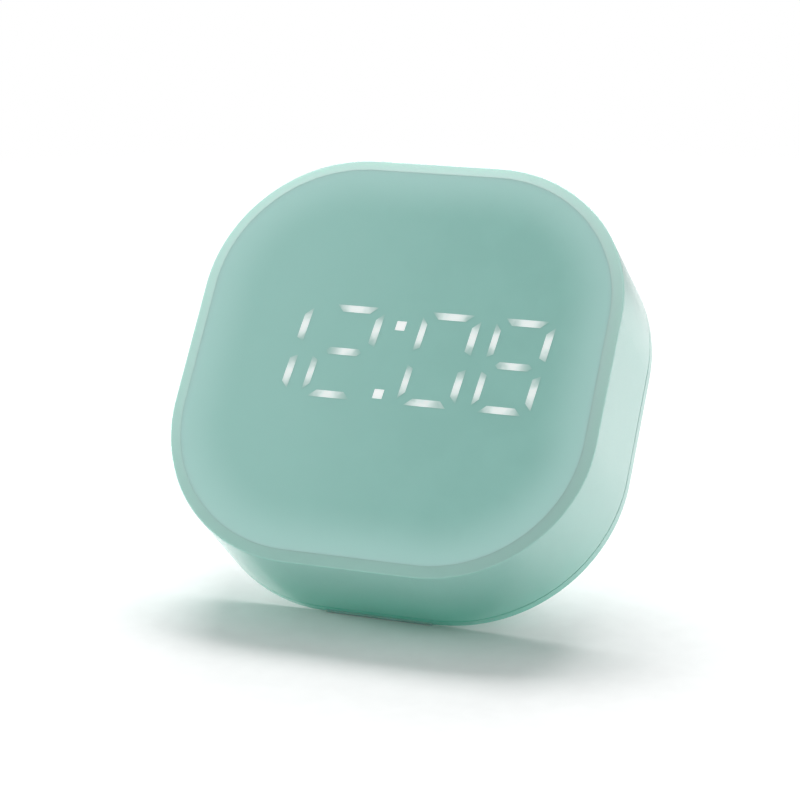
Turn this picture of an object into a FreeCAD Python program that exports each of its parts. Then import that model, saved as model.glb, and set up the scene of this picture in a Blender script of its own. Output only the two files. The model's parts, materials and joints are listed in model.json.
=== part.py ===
import FreeCAD, Part
import math
import os

# Small four-digit LED alarm clock, millimetres.
# It is drawn upright: X to the reader's right, Y from the front rim to the back, Z up the face,
# with X = Z = 0 at the middle of the face and Y = 0 at the front of the rim.
# At the end it is leaned back onto its lower rear edge and its fold-out stand.

# ---- case
CASE_HALF = 43.0          # half the width and half the height at the front rim
CORNER_R = 30.0           # corner radius at the front rim
CASE_DEPTH = 25.0
DRAFT = 1.45 / CASE_DEPTH  # the outline grows this much per millimetre of depth
CORNER_DRAFT = 3.2 / CASE_DEPTH  # the corner radius grows faster, so the back is rounder
WALL = 2.0
RIM_W = 2.3               # front face of the rim, around the panel
RIM_BEVEL = 0.4           # the rim's front falls away this much towards its outer edge
RIM_ROUND = 0.3
LEAN = 38.0               # degrees back from upright, resting on the stand

# ---- face panel and its ledge
PANEL_HALF = CASE_HALF - RIM_W
PANEL_R = CORNER_R - RIM_W
PANEL_T = 2.8
LEDGE_W = 2.0
LEDGE_T = 1.5
PANEL_BACK = PANEL_T      # the panel's face is flush with the rim's inner edge
LEDGE_BACK = PANEL_BACK + LEDGE_T

# ---- ribs and posts inside the shell
POST_FRONT = PANEL_BACK + 0.5
WEB_HALF_T = 0.7
WEB_BITE = 1.0            # overlap of a web with its post and with the wall
CORNER_WEB_BACK = 3.5     # the corner webs stop this far before the cover

# ---- rear cover
COVER_T = 2.2
SEAM = 0.3                # open joint line between shell and cover
COVER_FRONT = CASE_DEPTH - COVER_T
SHELL_BACK = COVER_FRONT - SEAM
LIP_T = 1.2
LIP_DEPTH = 2.0
LIP_GAP = 0.15
COVER_ROUND = 0.3
LIP_NOTCH = 0.6           # room around each screw post in the lip

# ---- digits
DIGIT_W = 11.8
DIGIT_H = 19.8
DIGIT_PITCH = 14.9
COLON_GAP = 4.8
SLANT = 5.5               # degrees
STROKE = 1.45
INNER_STROKE = 1.25       # the left side bars are slimmer
BAR_LONG = 8.5            # outer edge of the top and bottom bars
BAR_MID = 7.3             # middle bar, tip to tip
SIDE_INSET = 1.2          # top of the digit to the tip of a side bar
SIDE_LONG = 7.2           # outer edge of a side bar
COLON_SIZE = 1.95
COLON_RISE = 7.3          # colon square above and below the colon's middle
COLON_DROP = 0.85         # the colon's middle below the row's middle
ROW_X = -0.6
ROW_Z = 0.75

# ---- display stack, behind the panel
FILM_T = 0.3
LENS_T = 1.0
BLOCK_W = 65.0
BLOCK_H = 25.0
BLOCK_T = 6.0
EAR_T = 1.2
DISPLAY_W = 77.0
DISPLAY_H = 36.0
BOARD_T = 1.6
BLOCK_FRONT = PANEL_BACK + FILM_T
BLOCK_BACK = BLOCK_FRONT + BLOCK_T
DISPLAY_BACK = BLOCK_BACK + BOARD_T
DISPLAY_POST_X = 35.2
DISPLAY_POST_Z = 14.6
DISPLAY_POST_R = 2.4
DISPLAY_SCREW_L = 3.0      # below the ear
LED_SIZE = (1.6, 0.8, 0.8)
FILM_MARGIN = 0.5

# ---- main board, on posts from the rear cover
MAIN_FRONT = 14.0
MAIN_BACK = MAIN_FRONT + BOARD_T
MAIN_HALF_W = 26.0
MAIN_Z0 = 13.0
MAIN_Z1 = 38.0
MAIN_POST_X = 23.0
MAIN_POST_Z = (16.0, 35.0)
MAIN_POST_R = 2.4
MAIN_SCREW_L = 4.4        # below the board
BORE_EXTRA = 0.2          # depth of a screw's bore beyond its tip

# ---- parts on the boards
CHIP_LEAD_T = 0.3
CHIP_LEAD_OUT = 1.0
CHIP_LEAD_FILL = 0.45     # lead width as a share of the pitch
RIBBON_SOCKET = (11.0, 1.4, 4.0)
RIBBON_T = 0.2
RIBBON_STRAIGHT = 3.0
CRYSTAL_R = 1.0
CRYSTAL_X = (-21.0, -15.0)
CRYSTAL_Z = 20.0
INDUCTOR = (4.0, 2.0, 4.0)
INDUCTOR_AT = (17.5, 31.5)
INDUCTOR_ROUND = 0.6
CAPACITOR = (1.6, 0.8, 0.8)
CAPACITOR_AT = ((-1, 33), (2, 33), (5, 33), (-14, 34), (-11, 34), (20, 27), (20, 24))

# ---- controls on the back
BUTTON_X = (-17.0, -6.0, 5.0)
BUTTON_NAMES = ("set", "up", "down")
CONTROL_Z = 22.0
CAP_R = 3.0
CAP_GAP = 0.3
CAP_PROUD = 0.8
CAP_FLANGE_R = 3.9
SWITCH_SIZE = 6.0
SWITCH_T = 3.5
PLUNGER_R = 1.7
PLUNGER_GAP = 0.08
PLUNGER_OUT = 1.0
PLUNGER_IN = 1.2
PLUNGER_WELL = 1.7
FLANGE_T = 1.0
STEM_R = 2.0
CAP_ROUND = 0.5
SLIDER_X = 17.0
SLIDER_TRAVEL = 2.0
KNOB_W = 3.6
KNOB_H = 3.0
SLIDE_CASE = (9.0, 4.4, 4.0)
LEVER = 1.5
LEVER_IN = 1.6
LEVER_WELL = 2.0
LEVER_GAP = 0.3
KNOB_PROUD = 0.6
KNOB_RIB_T = 0.3
KNOB_RIB_PITCH = 0.8
SLIDER_PLATE = (7.6, 1.2, 5.2)

# ---- charging socket, bell
SOCKET_Z = 32.0
SOCKET_W = 8.9
SOCKET_H = 3.2
SOCKET_WALL = 0.3
SOCKET_GAP = 0.3
TONGUE_W = 6.7
TONGUE_T = 0.7
TONGUE_BACK = 0.8         # tongue's tip below the mouth
TONGUE_BASE = 3.0
BELL_X = -12.5
BELL_Z = 32.0
BELL_R = 4.5
BELL_T = 5.2
BELL_ROUND = 0.4
BELL_HOLE_R = 0.9
BELL_HOLE_DEPTH = 1.5
GRILLE_R = 0.6
GRILLE_RING = 2.4

# ---- fold-out stand
STAND_W = 32.0
STAND_T = 2.6
STAND_GAP = 0.4
STAND_OPEN = 42.0         # degrees from folded to its stop
HINGE_Y = 23.3
HINGE_Z = 7.0
BARREL_R = 1.6
STAND_LENGTH = 42.0       # hinge axis to the end of the folded stand, rubber included
STAND_CORNER_R = 5.0
STAND_PAD_T = 2.0
PIN_R = 1.0
PIN_RUN = 0.06
PIN_GRIP = 3.0
HEEL = 1.15               # square heel above the hinge axis: it meets the recess floor at the stop
POCKET_Y = 21.4           # floor of the stand's recess
POCKET_FLOOR_T = 1.4
POCKET_TOP = HINGE_Z + 2.2
EAR_HALF_H = 3.2          # block around the pin's end, above and below the hinge
FINGER_R = 7.0
FINGER_DEPTH = 1.5
GRIP_RIBS = 5
GRIP_PITCH = 1.6
GRIP_RIB_H = 0.7
GRIP_PROUD = 0.3
GRIP_HALF_W = 7.0
GRIP_START = 3.0
HOLLOW_SIDE = 4.0         # margins of the hollow on the inner side of the leg
HOLLOW_LOW = 5.0
HOLLOW_DEPTH = 1.0

# ---- fasteners
COVER_SCREW_AT = 30.0
BOSS_R = 3.0
COVER_SCREW_R = 1.0
COVER_SCREW_L = 9.0
HEAD_R = 1.9
HEAD_T = 1.2
SMALL_SCREW_R = 0.8
SMALL_HEAD_R = 1.5
SMALL_HEAD_T = 1.0
SCREW_CLEAR = 0.15        # radial, in a through hole
HEAD_SINK = 0.2
CROSS_ARM = 0.62          # of the head's radius
CROSS_HALF_W = 0.25

# ---- cell
CELL = (44.0, 6.0, 26.0)
CELL_Z = -19.0
PAD_T = 0.8
PLUG_X = -17.0
PLUG_Z0 = 13.5
PLUG_SIZE = (5.0, 3.0, 4.0)
CELL_ROUND = 1.2
PAD_W = 30.0
PAD_H = 20.0
WIRE_R = 0.5
WIRE_BENDS = (1.0, 7.0)
WIRE_HALF_PITCH = 1.0
RIBBON_X = 12.0
RIBBON_W = 8.0
RIBBON_Z = (12.0, 28.0)    # its sockets on the display board and on the main board

# ---- lower rubber strip
FOOT_W = 22.0
FOOT_DEPTH = 1.0          # set into the cover's edge, from the back
FOOT_HEIGHT = 2.0         # set into the cover's back, from the lower edge
FOOT_OUT = 0.3            # uncut block beyond the cover
FOOT_PROUD = -0.05        # cover's sharp corner above the table; its round keeps it clear
EPS = 1.0                 # overshoot of a cutting body


def half_at(y):
    return CASE_HALF + DRAFT * y


def radius_at(y):
    return CORNER_R + CORNER_DRAFT * y


def outline(half, radius, y):
    """Closed rounded square at depth y."""
    flat = half - radius

    def corner_point(quarter, degrees):
        a = math.radians(90 * quarter + degrees)
        side_x = flat if quarter in (0, 3) else -flat
        side_z = flat if quarter in (0, 1) else -flat
        return FreeCAD.Vector(side_x + radius * math.cos(a), y, side_z + radius * math.sin(a))

    edges = []
    for quarter in range(4):
        arc = [corner_point(quarter, degrees) for degrees in (0, 45, 90)]
        edges.append(Part.Arc(*arc).toShape())
        edges.append(Part.LineSegment(arc[2], corner_point((quarter + 1) % 4, 0)).toShape())
    return Part.Wire(edges)


def slab(half0, radius0, y0, half1, radius1, y1):
    """Solid between two rounded squares."""
    return Part.makeLoft([outline(half0, radius0, y0), outline(half1, radius1, y1)], True, True)


def case_slab(inset, y0, y1):
    """Stretch of the drafted case, its outline moved in by inset."""
    return slab(half_at(y0) - inset, radius_at(y0) - inset, y0,
                half_at(y1) - inset, radius_at(y1) - inset, y1)


def straight_slab(half, radius, y0, y1):
    return slab(half, radius, y0, half, radius, y1)


def box(x0, x1, y0, y1, z0, z1):
    return Part.makeBox(x1 - x0, y1 - y0, z1 - z0, FreeCAD.Vector(x0, y0, z0))


def box_at(x, z, width, height, y0, y1):
    return box(x - width / 2, x + width / 2, y0, y1, z - height / 2, z + height / 2)


def disc(x, z, radius, y0, y1):
    """Cylinder along Y."""
    return Part.makeCylinder(radius, y1 - y0, FreeCAD.Vector(x, y0, z), FreeCAD.Vector(0, 1, 0))


def rod(x0, x1, y, z, radius):
    """Cylinder along X."""
    return Part.makeCylinder(radius, x1 - x0, FreeCAD.Vector(x0, y, z), FreeCAD.Vector(1, 0, 0))


def stadium(x, z, width, height, y0, y1):
    """Rounded slot, wider than high, as wide as width."""
    run = (width - height) / 2
    ends = [disc(x - run, z, height / 2, y0, y1), disc(x + run, z, height / 2, y0, y1)]
    return box_at(x, z, 2 * run, height, y0, y1).fuse(ends).removeSplitter()


def prism(points, y0, y1):
    """Straight prism along Y over a list of (x, z) corners."""
    corners = [FreeCAD.Vector(x, y0, z) for x, z in points]
    face = Part.Face(Part.makePolygon(corners + corners[:1]))
    return face.extrude(FreeCAD.Vector(0, y1 - y0, 0))


def joined(shape, others):
    return shape.fuse(others).removeSplitter()


def four(x, z):
    return [(x, z), (-x, z), (-x, -z), (x, -z)]


def edges_in_plane(shape, y):
    """Edges that lie at depth y."""
    near = 1e-3
    return [e for e in shape.Edges if abs(e.BoundBox.YMin - y) < near and abs(e.BoundBox.YMax - y) < near]


# ---------------------------------------------------------------- digits

def bar_outlines():
    """Seven bars of one digit, upright, about the digit's own middle."""
    top = DIGIT_H / 2
    out = DIGIT_W / 2
    long_half = BAR_LONG / 2
    mid_half = BAR_MID / 2
    point = STROKE / 2
    high = top - SIDE_INSET
    low = high - SIDE_LONG
    flat_bar = [(-long_half, top), (long_half, top), (long_half - STROKE, top - STROKE),
                (-long_half + STROKE, top - STROKE)]
    middle = [(-mid_half, 0), (-mid_half + point, point), (mid_half - point, point),
              (mid_half, 0), (mid_half - point, -point), (-mid_half + point, -point)]
    side = [(out, high), (out, low), (out - STROKE, low + point), (out - STROKE, high - STROKE)]
    slim = [(out, high), (out, low), (out - INNER_STROKE, low + point), (out - INNER_STROKE, high - STROKE)]
    bars = {"a": flat_bar, "g": middle, "b": side}
    bars["d"] = [(x, -z) for x, z in flat_bar]
    bars["c"] = [(x, -z) for x, z in side]
    bars["f"] = [(-x, z) for x, z in slim]
    bars["e"] = [(-x, -z) for x, z in slim]
    return bars


def leaned(points, x, z):
    """Moves an outline to a digit's place with the digits' italic slant."""
    slope = math.tan(math.radians(SLANT))
    return [(x + px + slope * pz, z + pz) for px, pz in points]


def digit_centres():
    first = ROW_X - 1.5 * DIGIT_PITCH - COLON_GAP / 2
    return [first + DIGIT_PITCH * n + (COLON_GAP if n > 1 else 0) for n in range(4)]


def window_outlines():
    """All the light windows of the display: four digits of seven bars, and the colon."""
    windows = []
    for x in digit_centres():
        for bar in bar_outlines().values():
            windows.append(leaned(bar, x, ROW_Z))
    reach = COLON_SIZE / 2
    square = [(-reach, -reach), (reach, -reach), (reach, reach), (-reach, reach)]
    for sign in (1, -1):
        raised = [(px, pz + sign * COLON_RISE - COLON_DROP) for px, pz in square]
        windows.append(leaned(raised, ROW_X, ROW_Z))
    return windows


# ---------------------------------------------------------------- case

def rim_blank():
    """Outside of the front shell: drafted wall and a rim that slopes outwards."""
    front = slab(PANEL_HALF, PANEL_R, 0, half_at(RIM_BEVEL), radius_at(RIM_BEVEL), RIM_BEVEL)
    blank = joined(front, [case_slab(0, RIM_BEVEL, SHELL_BACK)])
    return blank.makeFillet(RIM_ROUND, edges_in_plane(blank, RIM_BEVEL))


def corner_posts():
    """Posts of the cover screws, each tied to its corner of the wall by a web."""
    posts = []
    for x, z in four(COVER_SCREW_AT, COVER_SCREW_AT):
        posts.append(disc(x, z, BOSS_R, POST_FRONT, COVER_FRONT))
        root = math.hypot(x, z) + BOSS_R
        web = box(root - WEB_BITE, root + 2 * WEB_BITE, LEDGE_BACK - WEB_BITE / 2,
                  COVER_FRONT - CORNER_WEB_BACK, -WEB_HALF_T, WEB_HALF_T)
        web.rotate(FreeCAD.Vector(0, 0, 0), FreeCAD.Vector(0, 1, 0), math.degrees(math.atan2(-z, x)))
        posts.append(web)
    return posts


def display_posts(back):
    """Posts that carry the display, each with a web to the side wall."""
    posts = []
    for x, z in four(DISPLAY_POST_X, DISPLAY_POST_Z):
        posts.append(disc(x, z, DISPLAY_POST_R, POST_FRONT, back))
        wall_x = math.copysign(CASE_HALF - WALL / 2, x)
        posts.append(box(min(x, wall_x), max(x, wall_x), POST_FRONT, back, z - WEB_HALF_T, z + WEB_HALF_T))
    return posts


def make_front_shell():
    """Side wall and rim in one piece, with the panel's ledge and the screw posts."""
    ear_front = BLOCK_BACK - EAR_T
    shell = rim_blank().cut(straight_slab(PANEL_HALF, PANEL_R, -EPS, PANEL_BACK))
    shell = shell.cut(straight_slab(PANEL_HALF - LEDGE_W, PANEL_R - LEDGE_W, 0, LEDGE_BACK + EPS))
    shell = shell.cut(case_slab(WALL, LEDGE_BACK, SHELL_BACK + EPS))
    shell = joined(shell, corner_posts() + display_posts(ear_front))
    bores = []
    for x, z in four(COVER_SCREW_AT, COVER_SCREW_AT):
        bores.append(disc(x, z, COVER_SCREW_R, CASE_DEPTH - COVER_SCREW_L - BORE_EXTRA, CASE_DEPTH))
    for x, z in four(DISPLAY_POST_X, DISPLAY_POST_Z):
        bores.append(disc(x, z, SMALL_SCREW_R, ear_front - DISPLAY_SCREW_L - BORE_EXTRA, CASE_DEPTH))
    return shell.cut(Part.makeCompound(bores))


def make_face_panel():
    """Milky front window, flat, glued on the ledge."""
    return straight_slab(PANEL_HALF, PANEL_R, 0, PANEL_BACK)


def stand_recess(grow, y0, y1):
    """Body over the stand's recess, lower corners rounded, grown on every side by grow."""
    half = STAND_W / 2 + STAND_GAP + grow
    low = HINGE_Z - STAND_LENGTH - STAND_GAP - grow
    body = box(-half, half, y0, y1, low, POCKET_TOP + grow)
    lower = [e for e in body.Edges if e.BoundBox.YLength > y1 - y0 - 0.01 and e.BoundBox.ZMax < low + 0.01]
    return body.makeFillet(STAND_CORNER_R + STAND_GAP + grow, lower)


def cover_lip():
    """Spigot that enters the shell, notched around the screw posts."""
    inset = WALL + LIP_GAP
    lip = case_slab(inset, COVER_FRONT - LIP_DEPTH, COVER_FRONT)
    lip = lip.cut(case_slab(inset + LIP_T, COVER_FRONT - LIP_DEPTH - EPS, COVER_FRONT + EPS))
    notches = [disc(x, z, BOSS_R + LIP_NOTCH, 0, CASE_DEPTH) for x, z in four(COVER_SCREW_AT, COVER_SCREW_AT)]
    return lip.cut(Part.makeCompound(notches))


def control_openings():
    """Holes in the cover for the keys, the alarm switch, the charging socket and the sound."""
    front = COVER_FRONT - EPS
    back = CASE_DEPTH + EPS
    holes = [disc(x, CONTROL_Z, CAP_R + CAP_GAP, front, back) for x in BUTTON_X]
    holes.append(stadium(SLIDER_X, CONTROL_Z, KNOB_W + SLIDER_TRAVEL + 2 * CAP_GAP,
                         KNOB_H + 2 * CAP_GAP, front, back))
    holes.append(stadium(0, SOCKET_Z, SOCKET_W + 2 * SOCKET_GAP, SOCKET_H + 2 * SOCKET_GAP, front, back))
    holes.append(disc(BELL_X, BELL_Z, GRILLE_R, front, back))
    for step in range(6):
        a = math.radians(60 * step)
        holes.append(disc(BELL_X + GRILLE_RING * math.cos(a), BELL_Z + GRILLE_RING * math.sin(a),
                          GRILLE_R, front, back))
    return holes


def make_rear_cover():
    """Back of the case: edge band, spigot lip, stand recess and the openings for the controls."""
    cover = case_slab(0, COVER_FRONT, CASE_DEPTH)
    cover = cover.makeFillet(COVER_ROUND, edges_in_plane(cover, CASE_DEPTH))
    recess_front = POCKET_Y - POCKET_FLOOR_T
    added = [cover_lip(), stand_recess(POCKET_FLOOR_T, recess_front, COVER_FRONT)]
    ear_in = STAND_W / 2 + STAND_GAP
    for x in (-ear_in - PIN_GRIP - EPS, ear_in):
        added.append(box(x, x + PIN_GRIP + EPS, recess_front, COVER_FRONT,
                         HINGE_Z - EAR_HALF_H, HINGE_Z + EAR_HALF_H))
    for x, z in main_screw_places():
        added.append(disc(x, z, MAIN_POST_R, MAIN_BACK, COVER_FRONT))
    cover = joined(cover, added)

    cuts = control_openings()
    cuts.append(stand_recess(0, POCKET_Y, CASE_DEPTH + EPS))
    recess_low = HINGE_Z - STAND_LENGTH - STAND_GAP
    cuts.append(disc(0, recess_low, FINGER_R, CASE_DEPTH - FINGER_DEPTH, CASE_DEPTH + EPS))
    cuts.append(rod(-ear_in - PIN_GRIP, ear_in + PIN_GRIP, HINGE_Y, HINGE_Z, PIN_R))
    for x, z in four(COVER_SCREW_AT, COVER_SCREW_AT):
        cuts.append(disc(x, z, COVER_SCREW_R + SCREW_CLEAR, COVER_FRONT - EPS, CASE_DEPTH + EPS))
        cuts.append(disc(x, z, HEAD_R + SCREW_CLEAR, CASE_DEPTH - HEAD_T - HEAD_SINK, CASE_DEPTH + EPS))
    for x, z in main_screw_places():
        cuts.append(disc(x, z, SMALL_SCREW_R, MAIN_BACK - EPS, MAIN_BACK + MAIN_SCREW_L + BORE_EXTRA))
    cuts.append(foot_strip_body())
    return cover.cut(Part.makeCompound(cuts))


def foot_strip_body():
    """Block of the lower rubber strip, before its underside is cut to the table."""
    bottom = -half_at(CASE_DEPTH)
    return box(-FOOT_W / 2, FOOT_W / 2, CASE_DEPTH - FOOT_DEPTH, CASE_DEPTH + FOOT_OUT,
               bottom - FOOT_OUT, bottom + FOOT_HEIGHT)


def upright_table():
    """Slab of table top in the upright frame: all that lies under the leaned clock."""
    lean = math.radians(LEAN)
    under = box(-200, 200, -200, 200, -200, 0)
    under.rotate(FreeCAD.Vector(0, 0, 0), FreeCAD.Vector(1, 0, 0), LEAN)
    y = CASE_DEPTH + FOOT_PROUD * math.sin(lean)
    z = -half_at(CASE_DEPTH) - FOOT_PROUD * math.cos(lean)
    under.translate(FreeCAD.Vector(0, y, z))
    return under


def make_foot_strip():
    """Rubber strip set in the lower rear edge, cut flat where it meets the table."""
    return foot_strip_body().cut(upright_table())


def table_height(y, z):
    """Height of an upright-frame point above the table that the leaned clock stands on."""
    lean = math.radians(LEAN)
    edge_z = -half_at(CASE_DEPTH)
    return FOOT_PROUD - math.sin(lean) * (y - CASE_DEPTH) + math.cos(lean) * (z - edge_z)


# ---------------------------------------------------------------- stand

def opened(shape):
    """Turns a folded stand piece out to its stop."""
    shape.rotate(FreeCAD.Vector(0, HINGE_Y, HINGE_Z), FreeCAD.Vector(1, 0, 0), STAND_OPEN)
    return shape


def make_kickstand():
    """Leg plate with its hinge barrel; the square heel above the barrel is the stop."""
    half = STAND_W / 2
    front = HINGE_Y - STAND_T / 2
    low = HINGE_Z - STAND_LENGTH + STAND_PAD_T
    plate = box(-half, half, front, front + STAND_T, low, HINGE_Z + HEEL)
    lower = [e for e in plate.Edges if e.BoundBox.YLength > STAND_T - 0.01 and e.BoundBox.ZMax < low + 0.01]
    plate = plate.makeFillet(STAND_CORNER_R, lower)
    ribs = []
    for step in range(GRIP_RIBS):
        z = low + GRIP_START + GRIP_PITCH * step
        ribs.append(box(-GRIP_HALF_W, GRIP_HALF_W, HINGE_Y, front + STAND_T + GRIP_PROUD, z, z + GRIP_RIB_H))
    leg = joined(plate, [rod(-half, half, HINGE_Y, HINGE_Z, BARREL_R)] + ribs)
    hollow = box(-half + HOLLOW_SIDE, half - HOLLOW_SIDE, front - EPS, front + HOLLOW_DEPTH,
                 low + HOLLOW_LOW, HINGE_Z - HOLLOW_SIDE)
    leg = leg.cut(hollow).cut(rod(-half - EPS, half + EPS, HINGE_Y, HINGE_Z, PIN_R + PIN_RUN))
    return opened(leg)


def make_stand_foot():
    """Rubber pad on the end of the leg, flat where it meets the table."""
    half = STAND_W / 2 - STAND_CORNER_R
    front = HINGE_Y - STAND_T / 2
    end = HINGE_Z - STAND_LENGTH + STAND_PAD_T
    pad = box(-half, half, front, front + STAND_T, end - STAND_PAD_T - EPS, end)
    return opened(pad).cut(upright_table())


def make_hinge_pin():
    reach = STAND_W / 2 + STAND_GAP + PIN_GRIP
    return rod(-reach, reach, HINGE_Y, HINGE_Z, PIN_R)


# ---------------------------------------------------------------- display

def make_diffuser_film():
    return box_at(0, ROW_Z, BLOCK_W - 2 * FILM_MARGIN, BLOCK_H - 2 * FILM_MARGIN, PANEL_BACK, BLOCK_FRONT)


def make_light_block():
    """White block with one light well for each bar and colon square."""
    block = box_at(0, ROW_Z, BLOCK_W, BLOCK_H, BLOCK_FRONT, BLOCK_BACK)
    ears = box_at(0, 0, DISPLAY_W, DISPLAY_H, BLOCK_BACK - EAR_T, BLOCK_BACK)
    wells = [prism(w, BLOCK_FRONT - EPS, BLOCK_BACK + EPS) for w in window_outlines()]
    for x, z in four(DISPLAY_POST_X, DISPLAY_POST_Z):
        wells.append(disc(x, z, SMALL_SCREW_R + SCREW_CLEAR, 0, CASE_DEPTH))
    return joined(block, [ears]).cut(Part.makeCompound(wells))


def make_segment_lenses():
    return Part.makeCompound([prism(w, BLOCK_FRONT, BLOCK_FRONT + LENS_T) for w in window_outlines()])


def make_display_board():
    board = box_at(0, 0, DISPLAY_W, DISPLAY_H, BLOCK_BACK, DISPLAY_BACK)
    for x, z in four(DISPLAY_POST_X, DISPLAY_POST_Z):
        board = board.cut(disc(x, z, SMALL_SCREW_R + SCREW_CLEAR, 0, CASE_DEPTH))
    return board


def make_display_leds():
    """One chip at the bottom of each light well, lying along its bar."""
    long_side, short_side, height = LED_SIZE
    chips = []
    for window in window_outlines():
        xs = [x for x, z in window]
        zs = [z for x, z in window]
        wide = max(xs) - min(xs) > max(zs) - min(zs)
        width, tall = (long_side, short_side) if wide else (short_side, long_side)
        centre_x = (max(xs) + min(xs)) / 2
        centre_z = (max(zs) + min(zs)) / 2
        chips.append(box_at(centre_x, centre_z, width, tall, BLOCK_BACK - height, BLOCK_BACK))
    return Part.makeCompound(chips)


def screw(x, z, radius, head_radius, head_t, head_y, tip_y):
    """Pan-head screw along Y with a cross recess; the tip may lie in front of or behind the head."""
    ahead = tip_y < head_y
    head = disc(x, z, head_radius, head_y, head_y + head_t) if ahead else \
        disc(x, z, head_radius, head_y - head_t, head_y)
    shank = disc(x, z, radius, min(tip_y, head_y), max(tip_y, head_y))
    top = head_y + head_t if ahead else head_y - head_t
    depth = head_t / 2
    arm = head_radius * CROSS_ARM
    cross = [box(x - arm, x + arm, top - depth, top + depth, z - CROSS_HALF_W, z + CROSS_HALF_W),
             box(x - CROSS_HALF_W, x + CROSS_HALF_W, top - depth, top + depth, z - arm, z + arm)]
    return joined(head, [shank]).cut(Part.makeCompound(cross))


def make_display_screws():
    tip = BLOCK_BACK - EAR_T - DISPLAY_SCREW_L
    return Part.makeCompound([screw(x, z, SMALL_SCREW_R, SMALL_HEAD_R, SMALL_HEAD_T, DISPLAY_BACK, tip)
                              for x, z in four(DISPLAY_POST_X, DISPLAY_POST_Z)])


def make_ribbon_sockets():
    width, thick, height = RIBBON_SOCKET
    lower = box_at(RIBBON_X, RIBBON_Z[0], width, height, DISPLAY_BACK, DISPLAY_BACK + thick)
    upper = box_at(RIBBON_X, RIBBON_Z[1], width, height, MAIN_FRONT - thick, MAIN_FRONT)
    return Part.makeCompound([lower, upper])


def make_display_ribbon():
    """Flat cable from the display board's socket up to the main board's."""
    depth, height = RIBBON_SOCKET[1:]
    near = DISPLAY_BACK + (depth - RIBBON_T) / 2
    far = MAIN_FRONT - (depth + RIBBON_T) / 2
    low = RIBBON_Z[0] + height / 2
    high = RIBBON_Z[1] - height / 2
    path = [(near, low), (near, low + RIBBON_STRAIGHT), (far, high - RIBBON_STRAIGHT), (far, high)]
    back = [(y + RIBBON_T, z) for y, z in reversed(path)]
    corners = [FreeCAD.Vector(RIBBON_X - RIBBON_W / 2, y, z) for y, z in path + back]
    face = Part.Face(Part.makePolygon(corners + corners[:1]))
    return face.extrude(FreeCAD.Vector(RIBBON_W, 0, 0))


# ---------------------------------------------------------------- main board

def main_screw_places():
    return [(x, z) for x in (-MAIN_POST_X, MAIN_POST_X) for z in MAIN_POST_Z]


def make_main_board():
    board = box(-MAIN_HALF_W, MAIN_HALF_W, MAIN_FRONT, MAIN_BACK, MAIN_Z0, MAIN_Z1)
    for x, z in main_screw_places():
        board = board.cut(disc(x, z, SMALL_SCREW_R + SCREW_CLEAR, 0, CASE_DEPTH))
    return board


def make_board_screws():
    return Part.makeCompound([screw(x, z, SMALL_SCREW_R, SMALL_HEAD_R, SMALL_HEAD_T, MAIN_FRONT,
                                    MAIN_BACK + MAIN_SCREW_L)
                              for x, z in main_screw_places()])


def gull_wing_chip(x, z, width, height, thick, y, out, leads):
    """Chip on the board face at y, rising towards out, with leads on its two long sides."""
    far = y + out * thick
    body = box_at(x, z, width, height, min(y, far), max(y, far))
    low = y + out * CHIP_LEAD_T
    pins = []
    pitch = width / leads
    for n in range(leads):
        px = x - width / 2 + (n + 0.5) * pitch
        pins.append(box_at(px, z, pitch * CHIP_LEAD_FILL, height + 2 * CHIP_LEAD_OUT,
                           min(y, low), max(y, low)))
    return joined(body, pins)


def make_clock_controller():
    return gull_wing_chip(-9, 27, 10.0, 5.5, 1.5, MAIN_FRONT, -1, 8)


def make_charge_controller():
    return gull_wing_chip(10.5, 33, 4.8, 3.6, 1.4, MAIN_BACK, 1, 4)


def make_power_inductor():
    width, thick, height = INDUCTOR
    core = box_at(*INDUCTOR_AT, width, height, MAIN_BACK, MAIN_BACK + thick)
    return core.makeFillet(INDUCTOR_ROUND, [e for e in core.Edges if e.BoundBox.YLength > thick - 0.01])


def make_timing_crystal():
    return rod(*CRYSTAL_X, MAIN_FRONT - CRYSTAL_R, CRYSTAL_Z, CRYSTAL_R)


def make_chip_capacitors():
    width, thick, height = CAPACITOR
    return Part.makeCompound([box_at(x, z, width, height, MAIN_FRONT - thick, MAIN_FRONT)
                              for x, z in CAPACITOR_AT])


def make_buzzer():
    """Sounder can with a sound hole that faces the grille."""
    can = disc(BELL_X, BELL_Z, BELL_R, MAIN_BACK, MAIN_BACK + BELL_T)
    can = can.makeFillet(BELL_ROUND, edges_in_plane(can, MAIN_BACK + BELL_T))
    return can.cut(disc(BELL_X, BELL_Z, BELL_HOLE_R, MAIN_BACK + BELL_T - BELL_HOLE_DEPTH, CASE_DEPTH))


def make_socket_shell():
    shell = stadium(0, SOCKET_Z, SOCKET_W, SOCKET_H, MAIN_BACK, CASE_DEPTH)
    return shell.cut(stadium(0, SOCKET_Z, SOCKET_W - 2 * SOCKET_WALL, SOCKET_H - 2 * SOCKET_WALL,
                             MAIN_BACK - EPS, CASE_DEPTH + EPS))


def make_socket_tongue():
    base = stadium(0, SOCKET_Z, SOCKET_W - 2 * SOCKET_WALL, SOCKET_H - 2 * SOCKET_WALL,
                   MAIN_BACK, MAIN_BACK + TONGUE_BASE)
    return joined(base, [box_at(0, SOCKET_Z, TONGUE_W, TONGUE_T, MAIN_BACK + TONGUE_BASE / 2,
                                CASE_DEPTH - TONGUE_BACK)])


# ---------------------------------------------------------------- controls

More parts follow.
